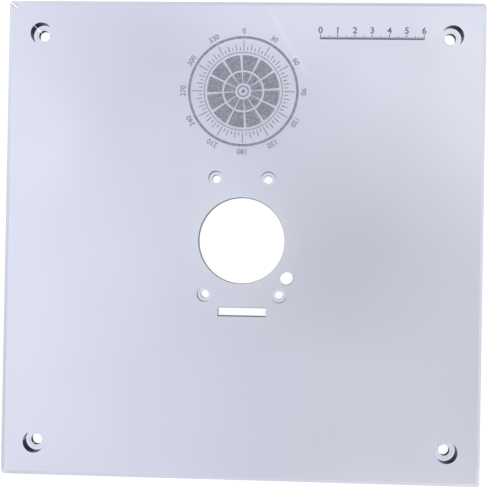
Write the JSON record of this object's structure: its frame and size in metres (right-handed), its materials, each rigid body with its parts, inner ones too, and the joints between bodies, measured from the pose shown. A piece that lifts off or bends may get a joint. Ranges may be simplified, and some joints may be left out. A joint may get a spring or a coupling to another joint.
{
  "type": "router base plate",
  "caption": "Square clear plastic base plate for a compact router, with a round bit opening, counterbored corner bolt holes, counterbored router screw holes, a key hole and a slot.",
  "frame": {"origin": "middle of the underside, the face without counterbores, on the axis of the bit opening", "axes": "+Z up out of the counterbored face, +Y from the slot towards the narrow pair of router screws, +X to the right when the counterbored face is seen with +Y up"},
  "size_m": [0.2794, 0.2794, 0.0095],
  "materials": {
    "clear_plastic": "polished clear sheet with a faint lavender-grey tint, machined counterbores and frosted marks"
  },
  "bodies": {
    "root": {"base_plate": "clear_plastic"}
  },
  "joints": []
}
